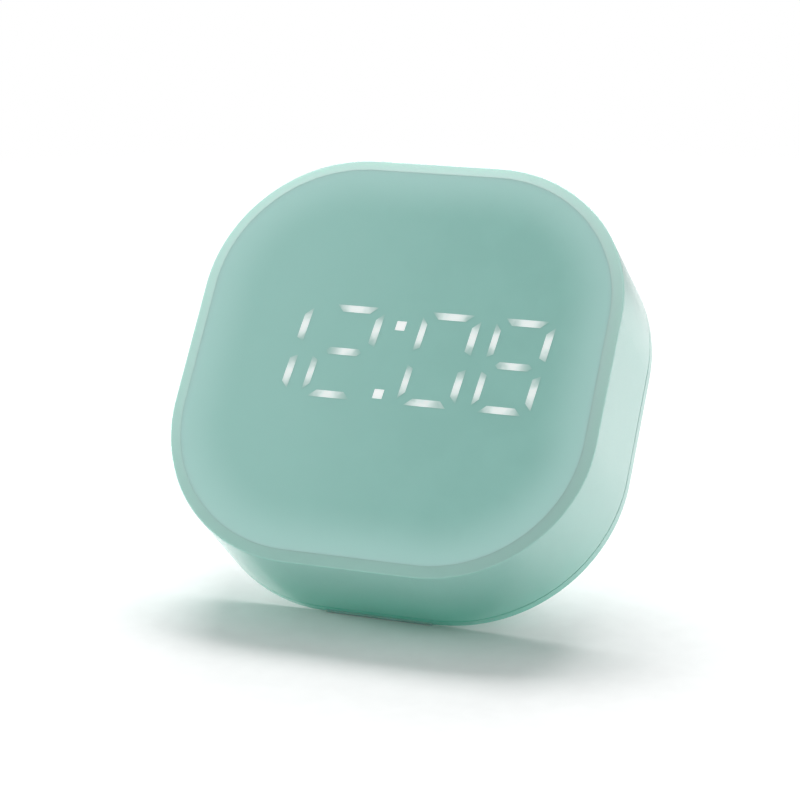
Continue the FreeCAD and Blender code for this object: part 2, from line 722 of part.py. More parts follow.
def make_button_switches():
    """Tact switch housings; each holds its plunger in a round well."""
    top = MAIN_BACK + SWITCH_T
    housings = []
    for x in BUTTON_X:
        body = box_at(x, CONTROL_Z, SWITCH_SIZE, SWITCH_SIZE, MAIN_BACK, top)
        housings.append(body.cut(disc(x, CONTROL_Z, PLUNGER_R + PLUNGER_GAP, top - PLUNGER_WELL, top + EPS)))
    return Part.makeCompound(housings)


def make_plunger(x):
    top = MAIN_BACK + SWITCH_T
    return disc(x, CONTROL_Z, PLUNGER_R, top - PLUNGER_IN, top + PLUNGER_OUT)


def make_button(x):
    """Cap, inner flange that keeps it in the cover, and the stem that meets the plunger."""
    stem_end = MAIN_BACK + SWITCH_T + PLUNGER_OUT
    flange_back = COVER_FRONT - CAP_GAP
    flange_front = flange_back - FLANGE_T
    cap = disc(x, CONTROL_Z, CAP_R, flange_front, CASE_DEPTH + CAP_PROUD)
    cap = cap.makeFillet(CAP_ROUND, edges_in_plane(cap, CASE_DEPTH + CAP_PROUD))
    flange = disc(x, CONTROL_Z, CAP_FLANGE_R, flange_front, flange_back)
    return joined(cap, [flange, disc(x, CONTROL_Z, STEM_R, stem_end, flange_front)])


def make_slide_switch_case():
    width, height, thick = SLIDE_CASE
    top = MAIN_BACK + thick
    case = box_at(SLIDER_X, CONTROL_Z, width, height, MAIN_BACK, top)
    return case.cut(box_at(SLIDER_X, CONTROL_Z, LEVER + SLIDER_TRAVEL + 2 * LEVER_GAP, LEVER + 2 * LEVER_GAP,
                           top - LEVER_WELL, top + EPS))


def make_alarm_slider():
    """Knob, inner plate and lever in one piece, drawn at the off end of its travel."""
    x = SLIDER_X - SLIDER_TRAVEL / 2
    plate_back = COVER_FRONT - CAP_GAP
    top = MAIN_BACK + SLIDE_CASE[2]
    width, thick, height = SLIDER_PLATE
    face = CASE_DEPTH + KNOB_PROUD
    knob = stadium(x, CONTROL_Z, KNOB_W, KNOB_H, plate_back - thick / 2, face)
    plate = box_at(x, CONTROL_Z, width, height, plate_back - thick, plate_back)
    lever = box_at(x, CONTROL_Z, LEVER, LEVER, top - LEVER_IN, plate_back - thick / 2)
    ribs = [box_at(x + dx, CONTROL_Z, KNOB_RIB_T, 2 * KNOB_H / 3, face - KNOB_RIB_T, face + KNOB_RIB_T)
            for dx in (-KNOB_RIB_PITCH, 0, KNOB_RIB_PITCH)]
    return joined(knob, [plate, lever] + ribs)


# ---------------------------------------------------------------- cell and fasteners

def make_cell():
    width, thick, height = CELL
    back = POCKET_Y - POCKET_FLOOR_T - PAD_T
    pouch = box_at(0, CELL_Z, width, height, back - thick, back)
    return pouch.makeFillet(CELL_ROUND, [e for e in pouch.Edges if e.BoundBox.ZLength > height - 0.01])


def make_cell_pad():
    back = POCKET_Y - POCKET_FLOOR_T
    return box_at(0, CELL_Z, PAD_W, PAD_H, back - PAD_T, back)


def bent_wire(points, radius):
    """Round wire along straight runs joined by tangent arcs."""
    runs = [points[0]]
    edges = []
    for before, corner, after in zip(points, points[1:], points[2:]):
        into = corner.sub(before)
        onward = after.sub(corner)
        setback = 0.45 * min(into.Length, onward.Length)
        start = corner.sub(into.normalize().multiply(setback))
        end = corner.add(onward.normalize().multiply(setback))
        half_turn = start.sub(corner).getAngle(end.sub(corner)) / 2
        inward = start.add(end).multiply(0.5).sub(corner)
        bend = setback * math.tan(half_turn)
        centre = corner.add(inward.normalize().multiply(setback / math.cos(half_turn)))
        middle = centre.add(corner.sub(centre).normalize().multiply(bend))
        edges.append(Part.LineSegment(runs[-1], start).toShape())
        edges.append(Part.Arc(start, middle, end).toShape())
        runs.append(end)
    edges.append(Part.LineSegment(runs[-1], points[-1]).toShape())
    along = points[1].sub(points[0]).normalize()
    section = Part.Wire(Part.makeCircle(radius, points[0], along))
    return Part.Wire(edges).makePipeShell([section], True, False)


def make_cell_lead():
    width, thick, height = CELL
    cell_y = POCKET_Y - POCKET_FLOOR_T - PAD_T - thick / 2
    plug_y = MAIN_FRONT - PLUG_SIZE[1] / 2
    wires = []
    for x in (PLUG_X - WIRE_HALF_PITCH, PLUG_X + WIRE_HALF_PITCH):
        path = [(cell_y, CELL_Z + height / 2), (cell_y, WIRE_BENDS[0]),
                (plug_y, WIRE_BENDS[1]), (plug_y, PLUG_Z0)]
        wires.append(bent_wire([FreeCAD.Vector(x, y, z) for y, z in path], WIRE_R))
    return Part.makeCompound(wires)


def make_cell_plug():
    width, thick, height = PLUG_SIZE
    return box_at(PLUG_X, PLUG_Z0 + height / 2, width, height, MAIN_FRONT - thick, MAIN_FRONT)


def make_cover_screws():
    head_y = CASE_DEPTH - HEAD_T - HEAD_SINK
    return Part.makeCompound([screw(x, z, COVER_SCREW_R, HEAD_R, HEAD_T, head_y, CASE_DEPTH - COVER_SCREW_L)
                              for x, z in four(COVER_SCREW_AT, COVER_SCREW_AT)])


def make_nodes():
    nodes = {
        "front_shell": make_front_shell(),
        "face_panel": make_face_panel(),
        "diffuser_film": make_diffuser_film(),
        "light_block": make_light_block(),
        "segment_lenses": make_segment_lenses(),
        "display_board": make_display_board(),
        "display_leds": make_display_leds(),
        "display_screws": make_display_screws(),
        "display_ribbon": make_display_ribbon(),
        "ribbon_sockets": make_ribbon_sockets(),
        "main_board": make_main_board(),
        "board_screws": make_board_screws(),
        "clock_controller": make_clock_controller(),
        "charge_controller": make_charge_controller(),
        "power_inductor": make_power_inductor(),
        "timing_crystal": make_timing_crystal(),
        "chip_capacitors": make_chip_capacitors(),
        "buzzer": make_buzzer(),
        "socket_shell": make_socket_shell(),
        "socket_tongue": make_socket_tongue(),
        "button_switches": make_button_switches(),
        "slide_switch_case": make_slide_switch_case(),
        "alarm_slider": make_alarm_slider(),
        "cell": make_cell(),
        "cell_pad": make_cell_pad(),
        "cell_lead": make_cell_lead(),
        "cell_plug": make_cell_plug(),
        "rear_cover": make_rear_cover(),
        "foot_strip": make_foot_strip(),
        "cover_screws": make_cover_screws(),
        "kickstand": make_kickstand(),
        "stand_foot": make_stand_foot(),
        "hinge_pin": make_hinge_pin(),
    }
    for name, x in zip(BUTTON_NAMES, BUTTON_X):
        nodes[name + "_button"] = make_button(x)
        nodes[name + "_plunger"] = make_plunger(x)
    return nodes


def stood_up(nodes):
    """Leans every piece back onto the table at Z = 0, with Y = 0 midway between front and back."""
    axis_x = FreeCAD.Vector(1, 0, 0)
    rise = table_height(0, 0)
    for shape in nodes.values():
        shape.rotate(FreeCAD.Vector(0, 0, 0), axis_x, -LEAN)
        shape.translate(FreeCAD.Vector(0, 0, rise))
    lows = []
    highs = []
    for shape in nodes.values():
        bounds = shape.optimalBoundingBox(False)
        lows.append(bounds.YMin)
        highs.append(bounds.YMax)
    shift = -(min(lows) + max(highs)) / 2
    for shape in nodes.values():
        shape.translate(FreeCAD.Vector(0, shift, 0))
    return FreeCAD.Vector(0, shift, rise)


os.makedirs("parts", exist_ok=True)
pieces = make_nodes()
origin = stood_up(pieces)
for node, piece in pieces.items():
    piece.exportStep("parts/" + node + ".step")
print("middle of the rim plane at", [round(value, 4) for value in origin])
hinge = FreeCAD.Placement(origin, FreeCAD.Rotation(FreeCAD.Vector(1, 0, 0), -LEAN))
print("stand hinge at", [round(v, 4) for v in hinge.multVec(FreeCAD.Vector(0, HINGE_Y, HINGE_Z))])
for node, piece in pieces.items():
    print(node, "solids", len(piece.Solids), "valid", piece.isValid(), "mm3", round(piece.Volume, 1))
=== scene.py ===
import json
import math

import bmesh
import bpy
from mathutils import Matrix, Vector


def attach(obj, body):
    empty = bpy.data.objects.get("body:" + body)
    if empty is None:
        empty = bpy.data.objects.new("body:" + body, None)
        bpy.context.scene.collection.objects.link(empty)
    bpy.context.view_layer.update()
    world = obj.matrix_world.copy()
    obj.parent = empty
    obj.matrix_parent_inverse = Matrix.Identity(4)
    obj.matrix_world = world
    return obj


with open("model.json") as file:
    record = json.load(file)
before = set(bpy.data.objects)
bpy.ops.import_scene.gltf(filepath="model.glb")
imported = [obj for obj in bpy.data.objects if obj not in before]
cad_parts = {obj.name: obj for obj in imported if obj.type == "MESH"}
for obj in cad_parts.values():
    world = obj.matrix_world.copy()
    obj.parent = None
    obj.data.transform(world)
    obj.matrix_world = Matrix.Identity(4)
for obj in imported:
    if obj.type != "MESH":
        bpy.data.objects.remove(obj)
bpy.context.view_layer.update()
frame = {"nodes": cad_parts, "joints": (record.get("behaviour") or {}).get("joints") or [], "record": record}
nodes = frame["nodes"]
joints = {joint["name"]: joint for joint in frame["joints"]}

MM = 0.001

# ---------------------------------------------------------------- the clock's own frame
# right, up and front are the face's directions; the face frame's origin is the middle of the
# panel's outer surface.
CORNER_FLAT = 13.0 * MM         # half the straight stretch of each side of the case

front = Vector(joints["set_press"]["axis"]).normalized()
right = Vector((1, 0, 0))
up = front.cross(right)
lean = math.atan2(up.y, up.z)
panel_points = [vertex.co for vertex in nodes["face_panel"].data.vertices]


def middle_along(points, direction):
    reaches = [point.dot(direction) for point in points]
    return (min(reaches) + max(reaches)) / 2


face_height = max(point.dot(front) for point in panel_points)
face_centre = (right * middle_along(panel_points, right) + up * middle_along(panel_points, up)
               + front * face_height)
face_frame = Matrix((right, up, front)).transposed().to_4x4()
face_frame.translation = face_centre


# ---------------------------------------------------------------- material helpers

NOISE_ROUGHNESS = 0.55


class Shader:
    """Small wrapper that builds one node material."""

    def __init__(self, name):
        self.material = bpy.data.materials.new(name)
        self.material.use_nodes = True
        self.tree = self.material.node_tree
        self.surface = self.tree.nodes["Principled BSDF"]

    def node(self, kind, **settings):
        made = self.tree.nodes.new(kind)
        for key, value in settings.items():
            setattr(made, key, value)
        return made

    def link(self, source, target):
        self.tree.links.new(source, target)

    def set(self, **values):
        """Sets plain values on the surface shader; an underscore stands for a space."""
        for key, value in values.items():
            self.surface.inputs[key.replace("_", " ")].default_value = value

    def place(self, scale):
        """Object coordinates in metres times scale; at rest they are the part's own frame."""
        coordinates = self.node("ShaderNodeTexCoord")
        mapping = self.node("ShaderNodeMapping")
        mapping.inputs["Scale"].default_value = (scale, scale, scale)
        self.link(coordinates.outputs["Object"], mapping.inputs["Vector"])
        return mapping.outputs["Vector"]

    def face_place(self):
        """Upright coordinates in millimetres: X right, Y back from the face, Z up the face."""
        coordinates = self.node("ShaderNodeTexCoord")
        mapping = self.node("ShaderNodeMapping")
        turned = Matrix.Rotation(lean, 3, "X")
        mapping.inputs["Rotation"].default_value = (lean, 0, 0)
        mapping.inputs["Scale"].default_value = (1 / MM,) * 3
        mapping.inputs["Location"].default_value = -(turned @ face_centre) / MM
        self.link(coordinates.outputs["Object"], mapping.inputs["Vector"])
        return mapping.outputs["Vector"]

    def noise(self, vector, scale, detail):
        made = self.node("ShaderNodeTexNoise")
        made.inputs["Scale"].default_value = scale
        made.inputs["Detail"].default_value = detail
        made.inputs["Roughness"].default_value = NOISE_ROUGHNESS
        self.link(vector, made.inputs["Vector"])
        return made.outputs["Fac"]

    def math(self, operation, first, second=None):
        made = self.node("ShaderNodeMath", operation=operation)
        for socket, value in zip(made.inputs, (first, second)):
            if value is None:
                continue
            if isinstance(value, (int, float)):
                socket.default_value = value
            else:
                self.link(value, socket)
        return made.outputs[0]

    def spread(self, value, low, high, to_low=0.0, to_high=1.0):
        """Maps a value smoothly from one range to another."""
        made = self.node("ShaderNodeMapRange", interpolation_type="SMOOTHSTEP")
        self.link(value, made.inputs["Value"])
        for key, number in (("From Min", low), ("From Max", high), ("To Min", to_low), ("To Max", to_high)):
            made.inputs[key].default_value = number
        return made.outputs["Result"]

    def mix(self, factor, first, second):
        """Mixes two colours by a socket; each may be a colour or a socket."""
        made = self.node("ShaderNodeMix", data_type="RGBA")
        self.link(factor, made.inputs["Factor"])
        for name, value in (("A", first), ("B", second)):
            socket = [s for s in made.inputs if s.name == name and s.type == "RGBA"][0]
            if isinstance(value, tuple):
                socket.default_value = (*value[:3], 1.0)
            else:
                self.link(value, socket)
        return [s for s in made.outputs if s.type == "RGBA"][0]

    def bump(self, height, strength, distance):
        made = self.node("ShaderNodeBump")
        made.inputs["Strength"].default_value = strength
        made.inputs["Distance"].default_value = distance
        self.link(height, made.inputs["Height"])
        self.link(made.outputs["Normal"], self.surface.inputs["Normal"])

    def colour(self, socket):
        self.link(socket, self.surface.inputs["Base Color"])

    def rough(self, value, low, high):
        self.link(self.spread(value, 0.3, 0.7, low, high), self.surface.inputs["Roughness"])


def linear(red, green, blue):
    """Linear colour from 0 to 255 display values."""
    def one(value):
        value /= 255
        return value / 12.92 if value <= 0.04045 else ((value + 0.055) / 1.055) ** 2.4
    return (one(red), one(green), one(blue))


def outline_reach(shader, place):
    """0 at the middle of the face, rising to the corner radius at the case's outline."""
    parts = shader.node("ShaderNodeSeparateXYZ")
    shader.link(place, parts.inputs[0])
    sides = []
    for axis in ("X", "Z"):
        past = shader.math("SUBTRACT", shader.math("ABSOLUTE", parts.outputs[axis]), CORNER_FLAT / MM)
        past = shader.math("MAXIMUM", past, 0.0)
        sides.append(shader.math("MULTIPLY", past, past))
    return shader.math("SQRT", shader.math("ADD", *sides))


# ---------------------------------------------------------------- materials

MINT = linear(147, 198, 188)
MINT_DEEP = linear(145, 196, 186)
# painted light on the rim: a paler mint standing in for light from above shining through the rim's thin
# plastic
MINT_PAINTED_RIM_LIGHT = linear(200, 239, 230)
MINT_PAINTED_LOW_GLOW = linear(112, 195, 177)
MINT_PAINTED_GLOW = linear(60, 230, 190)
PAINTED_LOW_GLOW_FROM = 24.0          # height in mm below which the case is painted a deeper, more saturated teal: painted glow of light through the plastic near the floor
PAINTED_GLOW_FROM = 12.0         # height in mm below which the case is given a faint painted glow, though it is no lamp
PAINTED_GLOW_MOST = 0.055
CASE_BACK = (25.0, 25.6)     # depth over which the painted low glow and the painted emission glow end, so the stand has neither
PAINTED_RIM_LIGHT_DEPTH = (0.35, 0.55)     # depth over which the painted light on the rim's front ends
PAINTED_RIM_LIGHT_RISE = (-45.0, 42.0)     # the rim is painted paler from its lower to its upper side, as painted light from above
PAINTED_RIM_LIGHT_LEAST = 0.35
BUMP_DEPTH = 0.05 * MM


def moulded_finish(shader, grain=0.02):
    """Fine satin spark texture of a moulded surface; gives the broad unevenness for the colour."""
    place = shader.place(1.0 / MM)
    fine = shader.noise(place, 6.0, 4.0)
    broad = shader.noise(place, 0.09, 3.0)
    shader.rough(fine, 0.34, 0.44)
    shader.bump(fine, grain, BUMP_DEPTH)
    return broad


def case_material():
    shader = Shader("mint_case")
    broad = moulded_finish(shader)
    body = shader.mix(shader.spread(broad, 0.35, 0.65), MINT_DEEP, MINT)
    place = shader.face_place()
    parts = shader.node("ShaderNodeSeparateXYZ")
    shader.link(place, parts.inputs[0])
    height = shader.node("ShaderNodeSeparateXYZ")
    shader.link(shader.place(1.0 / MM), height.inputs[0])
    on_case = shader.spread(parts.outputs["Y"], *CASE_BACK[::-1])
    # painted glow: near the floor the case is painted a deeper, more saturated teal, as if light shone
    # through the plastic
    low = shader.math("MULTIPLY", shader.spread(height.outputs["Z"], PAINTED_LOW_GLOW_FROM, 0.0), on_case)
    body = shader.mix(low, body, MINT_PAINTED_LOW_GLOW)
    # painted light: the rim's front is painted paler, most on its upper side, as if lit through from above
    rim = shader.spread(parts.outputs["Y"], *PAINTED_RIM_LIGHT_DEPTH[::-1])
    rim = shader.math("MULTIPLY", rim, shader.spread(parts.outputs["Z"], *PAINTED_RIM_LIGHT_RISE, PAINTED_RIM_LIGHT_LEAST, 1.0))
    shader.colour(shader.mix(rim, body, MINT_PAINTED_RIM_LIGHT))
    shader.set(Subsurface_Weight=0.35, Subsurface_Radius=(1.0, 1.2, 1.1), Subsurface_Scale=0.8 * MM,
               Specular_IOR_Level=0.6, Coat_Weight=1.0, Coat_Roughness=0.18)
    # painted glow: faint mint emission on the case's lower part, standing in for light passing through the
    # plastic
    glow = shader.spread(height.outputs["Z"], PAINTED_GLOW_FROM, 0.0, 0.0, PAINTED_GLOW_MOST)
    glow = shader.math("MULTIPLY", glow, on_case)
    shader.surface.inputs["Emission Color"].default_value = (*MINT_PAINTED_GLOW, 1.0)
    shader.link(glow, shader.surface.inputs["Emission Strength"])
    return shader.material


def face_material():
    shader = Shader("milky_face")
    broad = moulded_finish(shader, 0.01)
    place = shader.face_place()
    parts = shader.node("ShaderNodeSeparateXYZ")
    shader.link(place, parts.inputs[0])
    # painted light: the face is painted lighter towards its left, where the light falls from the left
    painted_left_light = shader.spread(parts.outputs["X"], 25.0, -35.0)
    # painted light: the face is painted paler towards its outline, standing in for light passing in from the
    # rim
    painted_edge_glow = shader.spread(outline_reach(shader, place), 17.0, 28.5, 0.0, 0.8)
    body = shader.mix(shader.spread(broad, 0.35, 0.65), linear(149, 203, 193), linear(152, 206, 196))
    body = shader.mix(painted_left_light, body, linear(163, 213, 204))
    shader.colour(shader.mix(painted_edge_glow, body, linear(186, 230, 223)))
    shader.set(Subsurface_Weight=0.3, Subsurface_Radius=(1.0, 1.2, 1.1), Subsurface_Scale=1.5 * MM)
    return shader.material


def plain_plastic(name, colour, darker, roughness=(0.4, 0.55), grain=0.02):
    shader = Shader(name)
    place = shader.place(1.0 / MM)
    fine = shader.noise(place, 3.0, 4.0)
    broad = shader.noise(place, 0.2, 2.0)
    shader.colour(shader.mix(shader.spread(broad, 0.3, 0.7), darker, colour))
    shader.rough(fine, *roughness)
    shader.bump(fine, grain, BUMP_DEPTH)
    return shader


def brushed_metal(name, colour, roughness):
    shader = Shader(name)
    coordinates = shader.node("ShaderNodeTexCoord")
    stretch = shader.node("ShaderNodeMapping")
    stretch.inputs["Scale"].default_value = (200.0, 4000.0, 4000.0)
    shader.link(coordinates.outputs["Object"], stretch.inputs["Vector"])
    streaks = shader.noise(stretch.outputs["Vector"], 1.0, 3.0)
    shader.colour(shader.mix(streaks, tuple(0.8 * c for c in colour), colour))
    shader.rough(streaks, *roughness)
    shader.bump(streaks, 0.05, 0.02 * MM)
    shader.set(Metallic=1.0)
    return shader.material


def board_material():
    shader = Shader("circuit_board")
    place = shader.place(1.0 / MM)
    tracks = shader.node("ShaderNodeTexBrick")
    tracks.inputs["Scale"].default_value = 0.35
    tracks.inputs["Mortar Size"].default_value = 0.03
    shader.link(place, tracks.inputs["Vector"])
    fine = shader.noise(place, 2.0, 3.0)
    shader.colour(shader.mix(tracks.outputs["Fac"], (0.012, 0.10, 0.045), (0.03, 0.20, 0.09)))
    shader.rough(fine, 0.25, 0.4)
    shader.bump(tracks.outputs["Fac"], 0.2, 0.03 * MM)
    return shader.material


def slot_materials():
    made = {
        "mint_case": case_material(),
        "milky_face": face_material(),
        "circuit_board": board_material(),
        "zinc_steel": brushed_metal("zinc_steel", (0.62, 0.63, 0.65), (0.25, 0.4)),
        "bright_can": brushed_metal("bright_can", (0.75, 0.75, 0.77), (0.15, 0.3)),
        "foil_pouch": brushed_metal("foil_pouch", (0.68, 0.69, 0.72), (0.35, 0.5)),
    }
    plastics = {
        "mint_key": (linear(150, 205, 193), linear(143, 199, 187)),
        "white_knob": (linear(236, 240, 238), linear(228, 232, 230)),
        "white_film": (linear(244, 246, 245), linear(238, 240, 239)),
        "white_plastic": (linear(240, 242, 240), linear(232, 234, 232)),
        "lit_lens": (linear(248, 250, 249), linear(240, 244, 242)),
        "led_chip": (linear(240, 226, 150), linear(230, 214, 130)),
        "ribbon_film": (linear(226, 226, 216), linear(200, 200, 190)),
        "ivory_plastic": (linear(232, 226, 206), linear(224, 216, 194)),
        "chip_black": (linear(38, 38, 40), linear(30, 30, 32)),
        "ferrite": (linear(74, 74, 78), linear(60, 60, 63)),
        "capacitor_tan": (linear(176, 142, 104), linear(160, 126, 90)),
        "foam": (linear(52, 52, 55), linear(40, 40, 42)),
        "wire_jacket": (linear(190, 40, 36), linear(170, 30, 28)),
    }
    for name, (colour, darker) in plastics.items():
        made[name] = plain_plastic(name, colour, darker).material
    rubber = plain_plastic("clear_rubber", linear(150, 196, 186), linear(140, 188, 178), (0.55, 0.7), 0.05)
    rubber.set(Subsurface_Weight=0.3, Subsurface_Scale=1.5 * MM)
    made["clear_rubber"] = rubber.material
    return made


def dress_nodes(materials):
    """Gives every carried-over node the material of its slot."""
    slots = {entry["node"]: entry["material_slot"] for entry in frame["record"]["subparts"]}
    for name, thing in nodes.items():
        thing.data.materials.clear()
        thing.data.materials.append(materials[slots[name]])


# ---------------------------------------------------------------- lit digits

DIGIT_W = 11.8
DIGIT_H = 19.8
DIGIT_PITCH = 14.9
COLON_GAP = 4.8
STROKE = 1.45
BAR_LONG = 8.5
BAR_MID = 7.3
SIDE_INSET = 1.2
SIDE_LONG = 7.2
INNER_STROKE = 1.25
COLON_SIZE = 1.95
COLON_RISE = 7.3
COLON_DROP = 0.85
ROW_X = -0.6
ROW_Z = 0.75
SLOPE = math.tan(math.radians(5.5))
GLOW_PROUD = 0.02
LIT = {"1": "bc", "2": "abged", "0": "abcdef", "8": "abcdefg"}
TIME = "1208"


def bar_shapes():
    """Outline and lengthwise axis of each bar of a digit, about the digit's middle."""
    top = DIGIT_H / 2
    out = DIGIT_W / 2
    long_half = BAR_LONG / 2
    mid_half = BAR_MID / 2
    point = STROKE / 2
    high = top - SIDE_INSET
    low = high - SIDE_LONG
    flat_bar = [(-long_half, top), (long_half, top), (long_half - STROKE, top - STROKE),
                (-long_half + STROKE, top - STROKE)]
    middle = [(-mid_half, 0), (-mid_half + point, point), (mid_half - point, point),
              (mid_half, 0), (mid_half - point, -point), (-mid_half + point, -point)]
    side = [(out, high), (out, low), (out - STROKE, low + point), (out - STROKE, high - STROKE)]
    slim = [(out, high), (out, low), (out - INNER_STROKE, low + point),
            (out - INNER_STROKE, high - STROKE)]
    return {
        "a": flat_bar,
        "b": side,
        "c": [(x, -z) for x, z in side],
        "d": [(x, -z) for x, z in flat_bar],
        "e": [(-x, -z) for x, z in slim],
        "f": [(-x, z) for x, z in slim],
        "g": middle,
    }


def glow_material():
    """White light in the middle of each bar that fades to the panel's mint at its tips."""
    shader = Shader("digit_glow")
    shader.set(Roughness=0.4)
    uv = shader.node("ShaderNodeUVMap", uv_map="along")
    parts = shader.node("ShaderNodeSeparateXYZ")
    shader.link(uv.outputs["UV"], parts.inputs[0])
    middle = shader.math("ABSOLUTE", shader.math("SUBTRACT", parts.outputs["X"], 0.5))
    place = shader.place(1.0 / MM)
    uneven = shader.noise(place, 0.35, 2.0)
    reach = shader.math("ADD", middle, shader.spread(uneven, 0.3, 0.7, -0.06, 0.10))
    light = shader.spread(reach, 0.66, 0.0)
    colour = shader.mix(light, linear(156, 206, 196), linear(243, 252, 250))
    shader.colour(colour)
    shader.link(colour, shader.surface.inputs["Emission Color"])
    shader.link(shader.spread(light, 0.3, 1.0, 0.0, 0.14), shader.surface.inputs["Emission Strength"])
    return shader.material


def glow_bar(name, points, upright, material):
    """Thin lit patch on the face with a map that runs along it from 0 to 1."""
    mesh = bmesh.new()
    layer = mesh.loops.layers.uv.new("along")
    lengths = [p[1] if upright else p[0] for p in points]
    low, high = min(lengths), max(lengths)
    slanted = [(x + SLOPE * z, z) for x, z in points]
    rings = []
    for height in (-GLOW_PROUD, GLOW_PROUD):
        rings.append([mesh.verts.new(Vector((x, z, height)) * MM) for x, z in slanted])
    faces = [mesh.faces.new(rings[1]), mesh.faces.new(rings[0][::-1])]
    count = len(points)
    for n in range(count):
        after = (n + 1) % count
        faces.append(mesh.faces.new((rings[0][n], rings[0][after], rings[1][after], rings[1][n])))
    along = {}
    for ring in rings:
        for vertex, length in zip(ring, lengths):
            along[vertex] = (length - low) / (high - low)
    for face in mesh.faces:
        for loop in face.loops:
            loop[layer].uv = (along[loop.vert], 0.5)
    bmesh.ops.recalc_face_normals(mesh, faces=mesh.faces)
    return finish_piece(name, mesh, material, "clock", face_frame)


def finish_piece(name, mesh, material, body, matrix):
    """Turns a bmesh, drawn in the frame of matrix, into a piece that rides on a body."""
    data = bpy.data.meshes.new(name)
    mesh.transform(matrix)
    mesh.to_mesh(data)
    mesh.free()
    thing = bpy.data.objects.new(name, data)
    bpy.context.scene.collection.objects.link(thing)
    data.materials.append(material)
    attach(thing, body)
    return thing


def light_digits():
    material = glow_material()
    first = ROW_X - 1.5 * DIGIT_PITCH - COLON_GAP / 2
    places = ("hour_tens", "hour_units", "minute_tens", "minute_units")
    for index, (place, figure) in enumerate(zip(places, TIME)):
        x = first + DIGIT_PITCH * index + (COLON_GAP if index > 1 else 0)
        for segment in LIT[figure]:
            upright = segment in "bcef"
            piece = glow_bar(f"lit_{place}_{segment}", bar_shapes()[segment], upright, material)
            piece.data.transform(Matrix.Translation((right * x + up * ROW_Z) * MM))
    half = COLON_SIZE / 2
    colon = colon_material()
    for name, sign in (("upper", 1), ("lower", -1)):
        z = sign * COLON_RISE - COLON_DROP
        square = [(-half, z - half), (half, z - half), (half, z + half), (-half, z + half)]
        piece = glow_bar("lit_colon_" + name, square, True, colon)
        piece.data.transform(Matrix.Translation((right * ROW_X + up * ROW_Z) * MM))


def colon_material():
    shader = Shader("colon_glow")
    fine = shader.noise(shader.place(1.0 / MM), 0.8, 2.0)
    colour = shader.mix(shader.spread(fine, 0.3, 0.7), linear(242, 252, 249), linear(255, 255, 255))
    shader.colour(colour)
    shader.link(colour, shader.surface.inputs["Emission Color"])
    shader.set(Roughness=0.4, Emission_Strength=0.16)
    return shader.material


# ---------------------------------------------------------------- marks by the controls

MARK_PROUD = 0.12
MARK_SUNK = 0.05
MARK_DROP = 5.6          # the marks' middle below the controls
MARK_LONG = 1.3          # half length of a plus or minus
MARK_HALF_W = 0.22
DIAL_R = 1.35
HAND_HALF_W = 0.13
BELL_R = 0.85
BELL_SKIRT = 1.3
CLAPPER_R = 0.32
RING_STEPS = 32


def arc(radius, first, last, steps, centre=(0.0, 0.0)):
    """Points along an arc, angles in degrees."""
    angles = [math.radians(first + (last - first) * n / steps) for n in range(steps + 1)]
    return [(centre[0] + radius * math.cos(a), centre[1] + radius * math.sin(a)) for a in angles]


def bar(half_long, half_wide, turn=0.0, shift=0.0):
    """Rectangle turned by degrees, moved along its own length."""
    a = math.radians(turn)
    corners = [(-half_long, -half_wide), (half_long, -half_wide),
               (half_long, half_wide), (-half_long, half_wide)]
    return [((x + shift) * math.cos(a) - y * math.sin(a), (x + shift) * math.sin(a) + y * math.cos(a))
            for x, y in corners]


def raise_outline(mesh, points, inner=None):
    """Adds a thin prism over an outline, or over the band between two outlines."""
    def ring_of(outline, height):
        return [mesh.verts.new(Vector((-x, y, height)) * MM) for x, y in outline]

    loops = [points] if inner is None else [points, inner]
    tops = [ring_of(loop, -MARK_PROUD) for loop in loops]
    bottoms = [ring_of(loop, MARK_SUNK) for loop in loops]
    for top, bottom in zip(tops, bottoms):
        for n in range(len(top)):
            after = (n + 1) % len(top)
            mesh.faces.new((top[n], top[after], bottom[after], bottom[n]))
    for level in (tops, bottoms):
        if inner is None:
            mesh.faces.new(level[0])
            continue
        for n in range(len(points)):
            after = (n + 1) % len(points)
            mesh.faces.new((level[0][n], level[0][after], level[1][after], level[1][n]))


def mark_outlines():
    """Generic signs as seen from behind: dial for set, plus, minus, and a bell for the alarm."""
    dome = arc(BELL_R, 0, 180, 16, (0.0, 0.35))
    skirt = [(-BELL_R, -0.2), (-BELL_SKIRT, -0.75), (BELL_SKIRT, -0.75), (BELL_R, -0.2)]
    circle = arc(DIAL_R, 0, 360, RING_STEPS)[:-1]
    inside = arc(DIAL_R - 2 * MARK_HALF_W, 0, 360, RING_STEPS)[:-1]
    clapper = arc(CLAPPER_R, 0, 360, 12, (0.0, -1.15))[:-1]
    arm_middle = MARK_LONG / 2 + MARK_HALF_W / 2
    arm_half = arm_middle - MARK_HALF_W
    level = (bar(MARK_LONG, MARK_HALF_W), None)
    return {
        "set_button": [(circle, inside), (bar(0.36, HAND_HALF_W, 90, 0.23), None),
                       (bar(0.3, HAND_HALF_W, 0, 0.17), None)],
        "up_button": [level, (bar(arm_half, MARK_HALF_W, 90, arm_middle), None),
                      (bar(arm_half, MARK_HALF_W, 90, -arm_middle), None)],
        "down_button": [level],
        "slide_switch_case": [(dome + skirt, None), (clapper, None)],
    }


